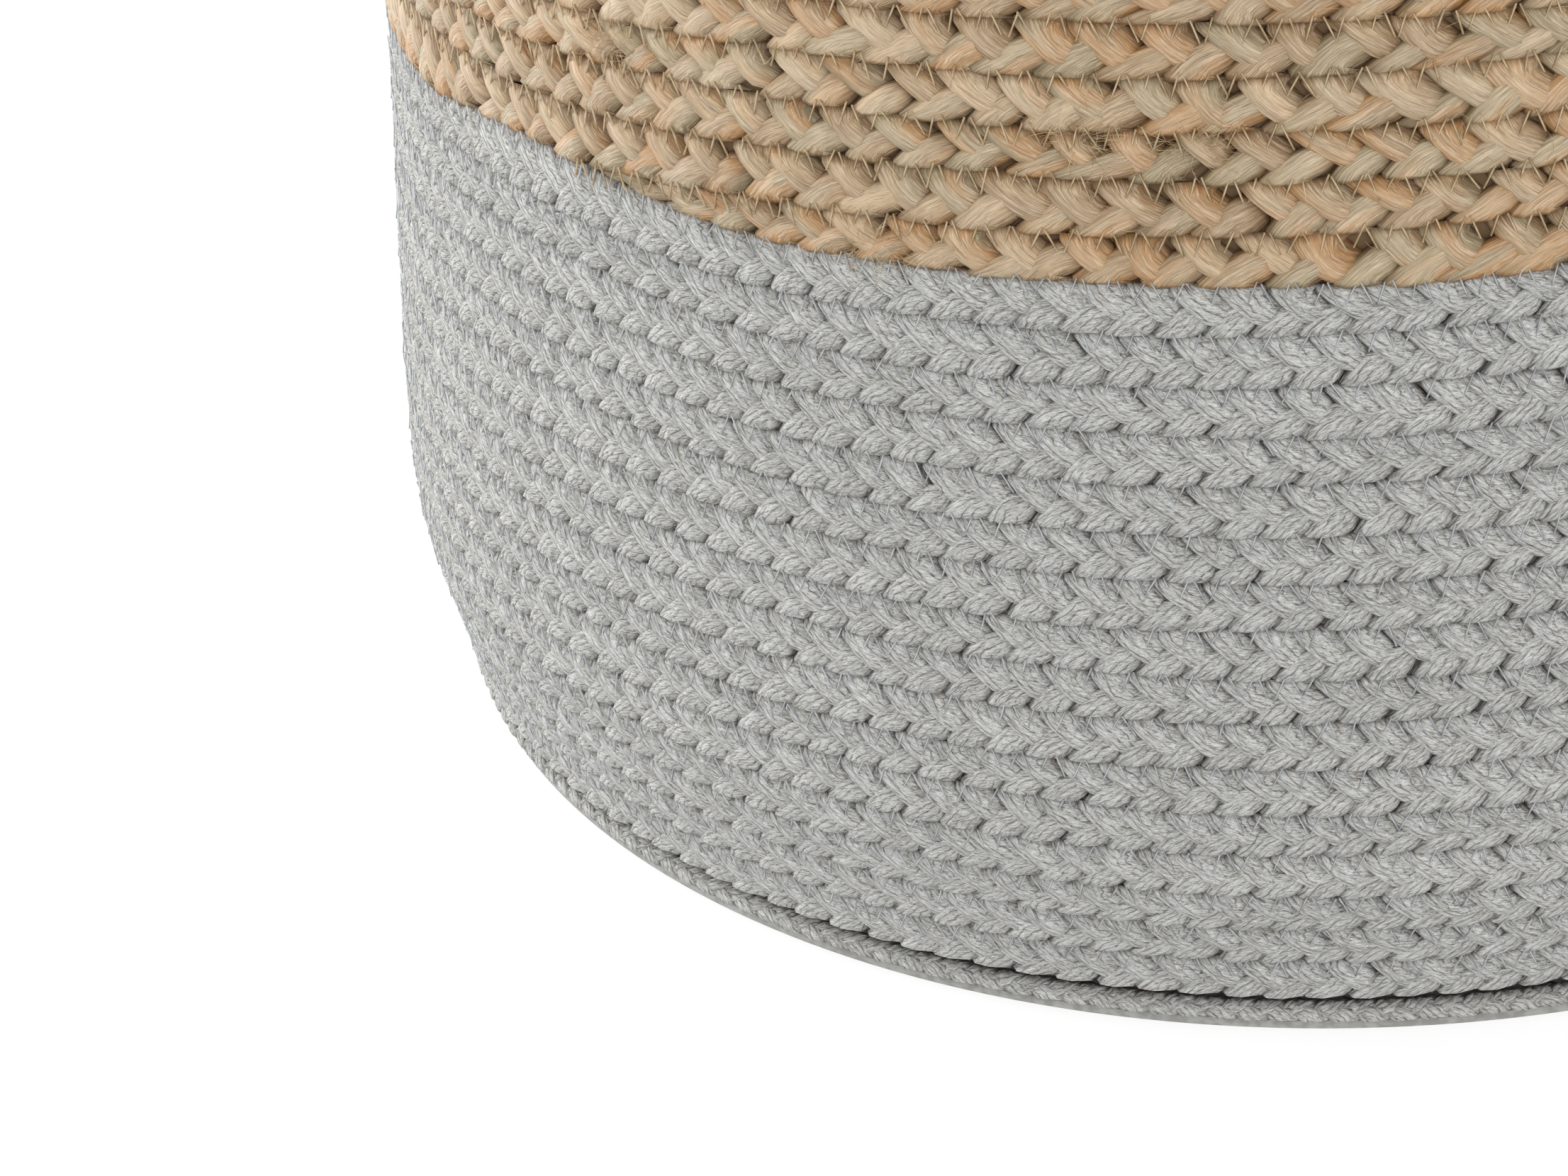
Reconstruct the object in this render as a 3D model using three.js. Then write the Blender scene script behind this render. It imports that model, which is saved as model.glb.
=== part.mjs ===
// A round floor pouf made of two long three-strand braids, coiled row on row and sewn edge
// to edge. Jute braid covers the crown and the upper wall, grey cotton braid covers the
// lower wall, and a flat coil of the cotton braid is the base. The filling rounds the
// crown, swells the wall towards the floor and tucks the last rows under.
// Millimetres, +Z up, the origin in the middle of the flat base, the front towards -Y.
// Seen from above, both braids travel clockwise as they go outwards and down.

import * as THREE from 'three';
import { mergeVertices } from 'three/addons/utils/BufferGeometryUtils.js';

// Driving dimensions
const juteRows = 33;          // rows of jute from the middle of the crown to the front of its last row
const cottonRows = 16;        // rows of cotton from there to the rim, counted at the front
const stepsPerTurn = 36;      // straight facets in one turn of the coil
const seamDepth = 1.8;        // how far a sewn seam lies under the wall's mean line
const ridgeHeight = 1.2;      // how far the middle of a row stands over it
const rimSwell = 1.6;         // the last row stands out this much more
const pieceGap = 0.3;         // clear space between the sewn pieces

// Wall outline from the middle of the crown to the rim, along the mean line of the rows.
const wallStations = [
  { radius: 0, height: 361 },
  { radius: 50, height: 360 },
  { radius: 100, height: 356.5 },
  { radius: 148, height: 350 },
  { radius: 184, height: 340.5 },
  { radius: 206, height: 328 },
  { radius: 219, height: 310 },
  { radius: 224.5, height: 288 },
  { radius: 226.5, height: 262 },
  { radius: 227.4, height: 235 },
  { radius: 228.3, height: 210 },
  { radius: 229, height: 184.5, coloursMeet: true },
  { radius: 231, height: 151.5 },
  { radius: 234.3, height: 107.7 },
  { radius: 236.3, height: 74.7 },
  { radius: 236.5, height: 52.7 },
  { radius: 235, height: 41 },
  { radius: 232.4, height: 30.5 },
  { radius: 229.6, height: 20 },
  { radius: 228.6, height: 9.8 },
];

// One row of braid in section: how far across it, and how far it is raised out of the seam.
const rowSection = [
  { across: 0, raised: 0 },
  { across: 0.27, raised: 1 },
  { across: 0.73, raised: 1 },
];

// The jute braid ends near the front, in a tail that is squeezed out between the row above
// and the cotton. Left of it the first row of cotton starts, and widens slowly round the back.
const tailEndStep = juteRows * stepsPerTurn + 5;
const cottonStartStep = juteRows * stepsPerTurn + 8;
const cottonFullStep = juteRows * stepsPerTurn + 30;

// Around the tail the seams drift by a share of a row: those of the jute sag to close up over
// it, its own upper seam most, and those of the cotton rise. Each drift grows between its
// first two angles, in degrees clockwise from the front, and is gone between its last two.
const tailSag = { rows: 0.65, from: 12, to: 43, power: 2.2 };
const juteSag = { rows: 0.5, angles: [22, 52, 70, 300], turns: [24, 30.5] };
const cottonRise = { rows: 0.2, angles: [28, 45, 52, 66], turns: [36, 41] };
const colourRise = { rows: 0.4, angles: [30, 47, 50, 61] };

// The cotton braid ends behind, where its last turn narrows out into a level rim.
const rimEndStep = (juteRows + cottonRows + 0.5) * stepsPerTurn + 2;
const rimTaperTurns = 4 / stepsPerTurn;
const levellingTurns = { from: -7, to: -1.5 };

// A hand-filled pouf is not quite round: soft swellings and hollows in the wall,
// that fade out at the crown and at the rim.
const wallUnevenness = [
  { lobes: 2, amplitude: 1.3, phase: 0.4, lean: 0.9 },
  { lobes: 3, amplitude: 0.9, phase: 2.1, lean: -1.4 },
  { lobes: 5, amplitude: 0.6, phase: 4.0, lean: 2.3 },
];

// Base coil, a flat disc with a round edge, tucked in under the rim row.
const baseOutline = [
  { radius: 0, height: 0 },
  { radius: 217.5, height: 0 },
  { radius: 221.5, height: 1.1 },
  { radius: 223.6, height: 4 },
  { radius: 222.6, height: 7.2 },
  { radius: 219.5, height: 9.2 },
  { radius: 0, height: 9.2 },
];

const juteFibre = new THREE.MeshStandardMaterial({ color: 0xb99a6b, roughness: 0.85, metalness: 0 });
const cottonYarn = new THREE.MeshStandardMaterial({ color: 0xb9b7b1, roughness: 0.95, metalness: 0 });
const baseYarn = new THREE.MeshStandardMaterial({ color: 0xa6a49e, roughness: 0.95, metalness: 0 });

const wallLine = new THREE.CatmullRomCurve3(
  wallStations.map(({ radius, height }) => new THREE.Vector3(radius, 0, height)),
  false,
  'centripetal',
);
const samplesPerStation = 60;
wallLine.arcLengthDivisions = samplesPerStation * (wallStations.length - 1);
const wallLengths = wallLine.getLengths();
const wallLength = wallLengths[wallLengths.length - 1];
const colourLength = wallLengths[samplesPerStation * wallStations.findIndex((s) => s.coloursMeet)];

function drift(angle, [start, full, fades, gone]) {
  const { smoothstep } = THREE.MathUtils;
  return smoothstep(angle, start, full) * (1 - smoothstep(angle, fades, gone));
}

// How far along the wall the seam below a step of the coil lies, before it drifts. In the jute
// the rows are even. The cotton rows lose their slope one by one towards the level rim.
function evenSeamAt(step) {
  const turns = step / stepsPerTurn;
  if (turns <= 0) return 0;
  if (turns <= juteRows) return (turns / juteRows) * colourLength;
  const toEnd = (step - rimEndStep) / stepsPerTurn;
  const wholeTurns = Math.floor(toEnd);
  const jog = THREE.MathUtils.smoothstep(toEnd - wholeTurns, 1 - rimTaperTurns, 1);
  const levelled = THREE.MathUtils.smoothstep(toEnd, levellingTurns.from, levellingTurns.to);
  const shift = levelled * (wholeTurns + jog + 0.5 - toEnd);
  const rowsDown = Math.min(turns + shift - juteRows, cottonRows);
  return colourLength + (rowsDown / cottonRows) * (wallLength - colourLength);
}

function seamAt(step) {
  const turns = step / stepsPerTurn;
  const angle = (360 / stepsPerTurn) * (step % stepsPerTurn);
  const { clamp, smoothstep } = THREE.MathUtils;
  let rows = juteSag.rows * drift(angle, juteSag.angles) * smoothstep(turns, ...juteSag.turns);
  if (turns >= juteRows) {
    const fade = 1 - smoothstep(turns, ...cottonRise.turns);
    rows = -cottonRise.rows * drift(angle, cottonRise.angles) * fade;
  } else if (turns >= juteRows - 1) {
    const { from, to, power } = tailSag;
    rows = tailSag.rows * clamp((angle - from) / (to - from), 0, 1) ** power;
  }
  return evenSeamAt(step) + rows * (colourLength / juteRows);
}

// The line where the jute stops and the cotton starts. Its turn ends where the first row of
// cotton has its full width, level with the seam of the turn before.
function colourChangeAt(step) {
  const angle = (step / stepsPerTurn - juteRows) * 360;
  const widened = THREE.MathUtils.smoothstep(step, cottonStartStep, cottonFullStep);
  const share = colourRise.rows * drift(angle, colourRise.angles) + widened;
  return THREE.MathUtils.lerp(evenSeamAt(step), evenSeamAt(step - stepsPerTurn), share);
}

// The lower edge of the jute row: its seam, and from over the tail's end on the colour change,
// which lies a turn further on until its own turn starts.
function juteEdgeAt(step) {
  if (step < tailEndStep - stepsPerTurn) return seamAt(step);
  return colourChangeAt(step < cottonFullStep - stepsPerTurn ? step + stepsPerTurn : step);
}

function unevenness(angle, share) {
  const fade = Math.sin(Math.PI * share) ** 0.5;
  return wallUnevenness.reduce(
    (sum, { lobes, amplitude, phase, lean }) =>
      sum + fade * amplitude * Math.sin(lobes * angle + phase + lean * 2 * share),
    0,
  );
}

// A point of the cover: so far along the wall line, turned to its step of the coil,
// and raised out of the seam by a share of the row's full relief.
function coverPoint(step, along, raised) {
  const share = along / wallLength;
  const middle = wallLine.getPointAt(share);
  const direction = wallLine.getTangentAt(share);
  const angle = (2 * Math.PI * (step % stepsPerTurn)) / stepsPerTurn;
  const swell = along > seamAt(rimEndStep - 1.5 * stepsPerTurn) ? rimSwell : 0;
  const relief = raised * (seamDepth + ridgeHeight + swell) - seamDepth;
  const radius = middle.x - relief * direction.z + unevenness(angle, share);
  const height = middle.z + relief * direction.x;
  const onAxis = along === 0;
  return new THREE.Vector3(
    onAxis ? 0 : -radius * Math.sin(angle),
    onAxis ? 0 : -radius * Math.cos(angle),
    height,
  );
}

// A long strip of braid, wound into a cover: each turn's lower edge is the next one's upper
// edge. The open turns at either end are closed with a fan of faces to the axis.
function woundCover({ firstStep, lastStep, upperEdge, lowerEdge, closeTop, closeFloor, drop = 0 }) {
  const points = [];
  const faces = [];
  const sections = rowSection.length;

  function addPoint(point) {
    point.z -= drop;
    points.push(point);
    return points.length - 1;
  }

  const rows = [];
  for (let step = firstStep; step <= lastStep + stepsPerTurn; step += 1) {
    const firstTurn = step < firstStep + stepsPerTurn;
    const upper = firstTurn ? upperEdge(step) : lowerEdge(step - stepsPerTurn);
    const lower = step <= lastStep ? lowerEdge(step) : upper;
    rows.push(rowSection.map(({ across, raised }) => {
      const width = lower - upper;
      const narrow = Math.min(1, width / (colourLength / juteRows));
      return addPoint(coverPoint(step, upper + across * width, raised * narrow));
    }));
  }

  for (let step = 0; step < lastStep - firstStep; step += 1) {
    for (let section = 0; section < sections; section += 1) {
      const below = section + 1;
      const here = rows[step][section];
      const next = rows[step + 1][section];
      const nextBelow = below < sections ? rows[step + 1][below] : rows[step + 1 + stepsPerTurn][0];
      const hereBelow = below < sections ? rows[step][below] : rows[step + stepsPerTurn][0];
      faces.push(here, next, nextBelow, here, nextBelow, hereBelow);
    }
  }

  if (closeTop !== undefined) {
    const hub = addPoint(new THREE.Vector3(0, 0, closeTop));
    for (let step = 0; step < stepsPerTurn; step += 1) {
      faces.push(hub, rows[step + 1][0], rows[step][0]);
    }
  }
  const hub = addPoint(new THREE.Vector3(0, 0, closeFloor));
  const lastTurn = lastStep - firstStep;
  for (let step = lastTurn; step < lastTurn + stepsPerTurn; step += 1) {
    faces.push(hub, rows[step][0], rows[step + 1][0]);
  }
  return closedGeometry(points, faces);
}

// Joins points that coincide and leaves out the faces that shrink to a line.
function closedGeometry(points, faces) {
  const loose = new THREE.BufferGeometry().setFromPoints(points);
  loose.setIndex(faces);
  const merged = mergeVertices(loose, 1e-4);
  const corners = merged.index.array;
  const kept = [];
  for (let corner = 0; corner < corners.length; corner += 3) {
    const [a, b, c] = corners.slice(corner, corner + 3);
    if (a !== b && b !== c && c !== a) kept.push(a, b, c);
  }
  merged.setIndex(kept);
  merged.computeVertexNormals();
  return merged;
}

// The jute cover: from the middle of the crown down to the colour change.
function juteCover() {
  const geometry = woundCover({
    firstStep: 0,
    lastStep: tailEndStep,
    upperEdge: (step) => evenSeamAt(step - stepsPerTurn),
    lowerEdge: juteEdgeAt,
    closeFloor: wallLine.getPointAt(colourLength / wallLength).z,
  });
  return new THREE.Mesh(geometry, juteFibre);
}

// The cotton band: from the colour change down to the level rim.
function cottonBand() {
  const geometry = woundCover({
    firstStep: cottonStartStep,
    lastStep: rimEndStep,
    upperEdge: (step) => colourChangeAt(step <= cottonFullStep ? step : step - stepsPerTurn),
    lowerEdge: seamAt,
    closeTop: wallLine.getPointAt(colourLength / wallLength).z,
    closeFloor: wallStations[wallStations.length - 1].height,
    drop: pieceGap,
  });
  return new THREE.Mesh(geometry, cottonYarn);
}

// The base coil: a disc turned about the axis, flat where it stands.
function baseCoil() {
  const outline = baseOutline.map(({ radius, height }) => new THREE.Vector2(radius, height));
  const turned = new THREE.LatheGeometry(outline, stepsPerTurn);
  turned.rotateX(Math.PI / 2);
  const points = [];
  const position = turned.attributes.position;
  for (let i = 0; i < position.count; i += 1) {
    points.push(new THREE.Vector3().fromBufferAttribute(position, i));
  }
  return new THREE.Mesh(closedGeometry(points, [...turned.index.array]), baseYarn);
}

const pouf = new THREE.Group();
pouf.name = 'braided_pouf';

const cover = juteCover();
cover.name = 'jute_cover';
pouf.add(cover);

const band = cottonBand();
band.name = 'cotton_band';
pouf.add(band);

const base = baseCoil();
base.name = 'base_coil';
pouf.add(base);

export default pouf;
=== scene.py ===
# %% [markdown]
# # A round braided floor pouf, in jute and grey cotton
# The real pouf is two very long three-strand braids. The jute one starts in the middle of the
# crown and is coiled row on row, each row sewn to the last with a zigzag thread. Part of the
# way down the wall its tail ends, and a braid of grey cotton yarn carries on in the same coil.
# This lesson builds the braids lobe by lobe, because the plump lobes, the dark crotches
# between them and the shadows in the seams are real shape, and paint alone looks flat. The
# finishes still add painted shade deep in the crotches and in the cotton's yarn grooves, and
# a painted highlight on the jute's crests.

import bpy
import numpy as np
from mathutils import Matrix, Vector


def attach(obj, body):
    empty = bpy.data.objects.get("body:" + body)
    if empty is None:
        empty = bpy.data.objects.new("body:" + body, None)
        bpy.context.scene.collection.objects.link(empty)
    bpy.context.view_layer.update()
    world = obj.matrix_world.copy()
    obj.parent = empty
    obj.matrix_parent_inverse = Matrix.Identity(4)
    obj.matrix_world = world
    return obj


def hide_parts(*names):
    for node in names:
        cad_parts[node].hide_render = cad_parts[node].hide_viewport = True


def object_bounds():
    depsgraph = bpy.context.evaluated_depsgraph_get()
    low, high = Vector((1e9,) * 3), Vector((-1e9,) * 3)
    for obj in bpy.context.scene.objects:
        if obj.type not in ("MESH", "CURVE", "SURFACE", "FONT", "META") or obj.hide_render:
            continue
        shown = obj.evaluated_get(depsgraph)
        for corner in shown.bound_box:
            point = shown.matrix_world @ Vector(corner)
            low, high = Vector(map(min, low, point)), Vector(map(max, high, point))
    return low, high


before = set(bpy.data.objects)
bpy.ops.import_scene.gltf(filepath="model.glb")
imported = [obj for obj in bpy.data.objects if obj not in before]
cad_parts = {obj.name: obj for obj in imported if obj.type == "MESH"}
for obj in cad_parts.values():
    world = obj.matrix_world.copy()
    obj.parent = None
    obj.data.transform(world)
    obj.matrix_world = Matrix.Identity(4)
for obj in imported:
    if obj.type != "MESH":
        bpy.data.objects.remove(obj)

MM = 0.001
cad_low, cad_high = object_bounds()
print("CAD box, metres:", [round(v, 4) for v in (*cad_low, *cad_high)])

# %% [markdown]
# ## The camera
# The picture looks down at the lower left front of the pouf from close by. The place, the
# direction and the lens were worked out from the rows' seams and the outline: the camera
# stands 0.9 m in front of the axis and half a metre over the floor, and is turned a little to
# the left, well down, and slightly on its side. No lens shift is needed.

# %% Camera
camera_place = np.array([0.0, -0.8994, 0.5015])
camera_left, camera_down, camera_tilt = np.radians([9.05, 29.61, -4.67])
camera_lens = 85.06
sensor_width = 36.0

ahead = np.array([
    -np.sin(camera_left) * np.cos(camera_down),
    np.cos(camera_left) * np.cos(camera_down),
    -np.sin(camera_down),
])
level_right = np.array([np.cos(camera_left), np.sin(camera_left), 0.0])
level_up = np.cross(level_right, ahead)
camera_right = np.cos(camera_tilt) * level_right + np.sin(camera_tilt) * level_up
camera_up = np.cos(camera_tilt) * level_up - np.sin(camera_tilt) * level_right

camera_data = bpy.data.cameras.new("camera")
camera_data.lens = camera_lens
camera_data.sensor_width = sensor_width
camera_data.clip_end = 100.0
camera = bpy.data.objects.new("camera", camera_data)
camera_axes = np.eye(4)
camera_axes[:3, :] = np.column_stack([camera_right, camera_up, -ahead, camera_place])
camera.matrix_world = Matrix(camera_axes)
bpy.context.scene.collection.objects.link(camera)
bpy.context.scene.camera = camera
print(f"camera with an {camera_lens} mm lens, {camera_place[2]} m over the floor")

# %% [markdown]
# ## The wall line
# A braid row lies on the filled body like a rope on a bollard, so everything is placed on one
# line: the body's outline from the middle of the crown to the rim, with the same stations as
# the solid. A smooth curve through them is measured once, and a place on the wall is then how
# far along that line it is, how many turns of the coil lead to it, and how far it stands out.

# %% Wall line
jute_rows, cotton_rows = 33, 16
colour_station = 11
wall_stations = MM * np.array([
    [0, 361], [50, 360], [100, 356.5], [148, 350], [184, 340.5], [206, 328], [219, 310],
    [224.5, 288], [226.5, 262], [227.4, 235], [228.3, 210], [229, 184.5], [231, 151.5],
    [234.3, 107.7], [236.3, 74.7], [236.5, 52.7], [235, 41], [232.4, 30.5], [229.6, 20],
    [228.6, 9.8],
])
samples_per_span = 60


def smooth_line(stations, samples):
    """Centripetal Catmull-Rom curve: a cubic between each pair of stations, whose end slopes
    are weighted with the square roots of the distances, so it never loops or overshoots."""
    padded = np.vstack([2 * stations[0] - stations[1], stations, 2 * stations[-1] - stations[-2]])
    p0, p1, p2, p3 = padded[:-3], padded[1:-2], padded[2:-1], padded[3:]
    gap = np.sqrt(np.linalg.norm(np.diff(padded, axis=0), axis=1))[:, None]
    d0, d1, d2 = gap[:-2], gap[1:-1], gap[2:]
    slope1 = ((p1 - p0) / d0 - (p2 - p0) / (d0 + d1) + (p2 - p1) / d1) * d1
    slope2 = ((p2 - p1) / d1 - (p3 - p1) / (d1 + d2) + (p3 - p2) / d2) * d1
    t = np.linspace(0, 1, samples, endpoint=False)[None, :, None]
    a, b, s1, s2 = p1[:, None], p2[:, None], slope1[:, None], slope2[:, None]
    cubic = a + s1 * t + (3 * (b - a) - 2 * s1 - s2) * t**2 + (2 * (a - b) + s1 + s2) * t**3
    return np.vstack([cubic.reshape(-1, stations.shape[1]), stations[-1:]])


class Line:
    """An outline in radius and height, measured by the distance along it. It is carried on
    straight past both ends, because a braid is a little wider than its row."""

    def __init__(self, points):
        steps = np.linalg.norm(np.diff(points, axis=0), axis=1)
        along = np.concatenate([[0.0], np.cumsum(steps)])
        over = 20 * MM
        before = points[0] - (points[1] - points[0]) / steps[0] * over
        after = points[-1] + (points[-1] - points[-2]) / steps[-1] * over
        self.length = along[-1]
        self.along = np.concatenate([[-over], along, [self.length + over]])
        self.points = np.vstack([before, points, after])
        self.slope = np.gradient(self.points, self.along, axis=0)

    def at(self, along):
        """Radius, height, and the line's direction in radius and height, at a distance."""
        return [np.interp(along, self.along, column)
                for column in (*self.points.T, *self.slope.T)]


wall = Line(smooth_line(wall_stations, samples_per_span))
colour_length = wall.along[colour_station * samples_per_span + 1]
jute_pitch = colour_length / jute_rows
cotton_pitch = (wall.length - colour_length) / cotton_rows
print(f"wall line {wall.length:.4f} m, jute rows {jute_pitch / MM:.2f} mm, "
      f"cotton rows {cotton_pitch / MM:.2f} mm")

# %% [markdown]
# ## The coil
# Seen from above the braids travel clockwise, one row further down with every turn, so a row
# seam is a long screw line. Two places break it, both as on the solid. Near the front the jute
# ends in a tail that is squeezed out between the row above and the cotton: the jute seams sag
# to close up over it, the cotton seams rise a little, and the first row of cotton starts left
# of it and widens slowly round the back. Behind, where the cotton ends, the last rows lose
# their slope, so that the rim comes out level.

# %% Where the coil changes
# Whole turns count rows from the crown, and a part of a turn is an angle clockwise from the
# front. A bend has four angles: where it starts, is full, starts to end, and ends.
tail_tip = jute_rows + 43 / 360
cotton_first = jute_rows + 80 / 360
cotton_full = jute_rows + 300 / 360
tail_sag = {"rows": 0.65, "from": 12, "to": 43, "power": 2.2}
jute_sag = {"rows": 0.5, "angles": (22, 52, 70, 300), "turns": (24, 30.5)}
cotton_rise = {"rows": 0.2, "angles": (28, 45, 52, 66), "turns": (36, 41)}
colour_rise = {"rows": 0.4, "angles": (30, 47, 50, 61)}
rim_end = jute_rows + cotton_rows + 0.5 + 20 / 360
rim_taper = 40 / 360
levelling = (-7.0, -1.5)
drift_sizes = MM * np.array([0.35, 0.22, 0.12])
drift_beats = np.array([4.37, 9.61, 21.3])
drift_phases = np.array([1.0, 2.6, 4.2])
drift_starts, drift_ends = (0.5, 3.0), (rim_end - 1.0, rim_end - 2.0)
print(f"turns of the coil: jute to {tail_tip:.2f}, cotton from {cotton_first:.2f} "
      f"to {rim_end:.2f}")

# %% Seams
def smoothstep(value, low, high):
    """0 below low, 1 above high, and a soft cubic between them."""
    t = np.clip((value - low) / (high - low), 0, 1)
    return t * t * (3 - 2 * t)


def between(angle, angles):
    """Grows from 0 to 1 between the first two angles, and falls to 0 between the last two."""
    return smoothstep(angle, *angles[:2]) * (1 - smoothstep(angle, *angles[2:]))


def wander(turns):
    """Hand sewing lets a seam drift: three sines, whose beats never fall on a whole turn. They
    fade out at the crown and at the rim."""
    drift = sum(size * np.sin(2 * np.pi * beats * turns + phase)
                for size, beats, phase in zip(drift_sizes, drift_beats, drift_phases))
    return drift * smoothstep(turns, *drift_starts) * smoothstep(turns, *drift_ends)


def even_seam_at(turns):
    """How far along the wall the seam under a turn of the coil lies, away from the tail: even
    rows in the jute, and rows that turn level towards the rim in the cotton."""
    to_end = turns - rim_end
    whole = np.floor(to_end)
    jog = smoothstep(to_end - whole, 1 - rim_taper, 1)
    shift = smoothstep(to_end, *levelling) * (whole + jog + 0.5 - to_end)
    rows_down = np.minimum(turns + shift - jute_rows, cotton_rows)
    even = np.where(turns <= jute_rows, turns * jute_pitch,
                    colour_length + rows_down * cotton_pitch)
    return even + wander(turns)


def seam_at(turns):
    """The seam under a turn of the coil, with its drift around the tail: the jute seams sag,
    the tail's own upper seam most, and the cotton seams rise."""
    angle = 360 * (turns % 1)
    sag = jute_sag["rows"] * between(angle, jute_sag["angles"])
    sag = sag * smoothstep(turns, *jute_sag["turns"])
    over_tail = (angle - tail_sag["from"]) / (tail_sag["to"] - tail_sag["from"])
    over_tail = tail_sag["rows"] * np.clip(over_tail, 0, 1) ** tail_sag["power"]
    rise = cotton_rise["rows"] * between(angle, cotton_rise["angles"])
    rise = rise * (1 - smoothstep(turns, *cotton_rise["turns"]))
    rows = np.where(turns < jute_rows - 1, sag, np.where(turns < jute_rows, over_tail, -rise))
    return even_seam_at(turns) + rows * jute_pitch


print("seams at the front, mm down the wall line:",
      np.round(seam_at(np.arange(30.0, 36.0)) / MM, 1))

# %% Edges of the rows
def colour_change_at(turns):
    """The line where the jute stops and the cotton starts, over the turn that ends where the
    first row of cotton has its full width, level with the seam of the turn before."""
    angle = 360 * (turns - jute_rows)
    share = colour_rise["rows"] * between(angle, colour_rise["angles"])
    share = share + smoothstep(turns, cotton_first, cotton_full)
    return even_seam_at(turns) + share * (even_seam_at(turns - 1) - even_seam_at(turns))


def jute_edges(turns):
    """Upper and lower edge of the jute row at a turn of the coil. From over the tail's tip on,
    the lower edge is the colour change, a turn further on until its own turn starts."""
    change = colour_change_at(np.where(turns < cotton_full - 1, turns + 1, turns))
    return seam_at(turns - 1), np.where(turns < tail_tip - 1, seam_at(turns), change)


def cotton_edges(turns):
    """Upper and lower edge of the cotton row at a turn of the coil."""
    change = colour_change_at(np.where(turns <= cotton_full, turns, turns - 1))
    return np.where(turns <= cotton_first + 1, change, seam_at(turns - 1)), seam_at(turns)


print("first row of cotton, mm wide at its start and at its widest:",
      np.round(np.diff(cotton_edges(np.array([cotton_first, cotton_full])), axis=0) / MM, 1))

# %% A point on the wall
unevenness = MM * np.array([1.3, 0.9, 0.6])
unevenness_lobes = np.array([2, 3, 5])
unevenness_phase = np.array([0.4, 2.1, 4.0])
unevenness_lean = np.array([1.8, -2.8, 4.6])


def on_wall(line, along, turns, out, uneven=1.0):
    """World points on a line's turned surface: so far along it, turned clockwise from the
    front by the turns, and pushed out along the surface normal. The radius is uneven: two,
    three and five waves go round the body, and lean on the way down."""
    radius, height, slope_out, slope_down = line.at(along)
    angle = 2 * np.pi * turns
    share = np.clip(along / line.length, 0, 1)
    fade = np.sqrt(np.sin(np.pi * share)) * uneven
    for size, lobes, phase, lean in zip(unevenness, unevenness_lobes, unevenness_phase,
                                        unevenness_lean):
        radius = radius + fade * size * np.sin(lobes * angle + phase + lean * share)
    radius = radius - out * slope_down
    return np.stack([-radius * np.sin(angle), -radius * np.cos(angle),
                     height + out * slope_out], axis=-1)


print("colour change at the front:", np.round(on_wall(wall, colour_length, 0.0, 0.0), 4))

# %% [markdown]
# ## From a straight braid to a coiled one
# A three-strand braid shows two ranks of leaf-shaped lobes, where a strand comes up over the
# others. Each lobe starts in a seam, crosses half of the row on a slant, and dives under the
# next one of the other rank. What lies below is never seen, so each lobe is a closed leaf of
# its own, and every face goes into what shows. The straight braid is then bent onto the wall:
# its length becomes turns of the coil, its width becomes distance along the wall line between
# the row's edges, and its thickness stands out of the wall.

# %% Meshes from grids
def add_piece(name, points, faces, smooth, finish):
    """A mesh object from points and faces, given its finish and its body."""
    mesh = bpy.data.meshes.new(name)
    mesh.vertices.add(points.size // 3)
    mesh.vertices.foreach_set("co", points.reshape(-1).astype(np.float32))
    sizes = np.concatenate([np.full(len(group), group.shape[1]) for group in faces])
    corners = np.concatenate([group.reshape(-1) for group in faces])
    mesh.loops.add(len(corners))
    mesh.loops.foreach_set("vertex_index", corners.astype(np.int32))
    mesh.polygons.add(len(sizes))
    starts = np.cumsum(sizes) - sizes
    mesh.polygons.foreach_set("loop_start", starts.astype(np.int32))
    mesh.polygons.foreach_set("use_smooth", np.repeat(smooth, [len(group) for group in faces]))
    mesh.update(calc_edges=True)
    mesh.materials.append(finish)
    piece = bpy.data.objects.new(name, mesh)
    bpy.context.scene.collection.objects.link(piece)
    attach(piece, "root")
    print(f"{name}: {int((sizes - 2).sum())} triangles")
    return piece


def tubes(name, rings, finish):
    """A closed tube for each thread of rings[thread, step, side]. Neighbouring steps and sides
    are joined by smooth quads, and each end is one flat face."""
    strands, steps, sides = rings.shape[:3]
    corner = np.arange(strands * steps * sides).reshape(strands, steps, sides)
    side_on = np.roll(corner, -1, axis=2)
    quads = np.stack([corner[:, :-1], side_on[:, :-1], side_on[:, 1:], corner[:, 1:]], axis=-1)
    caps = np.concatenate([corner[:, 0, ::-1], corner[:, -1]])
    return add_piece(name, rings, [quads.reshape(-1, 4), caps], [True, False], finish)


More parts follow.
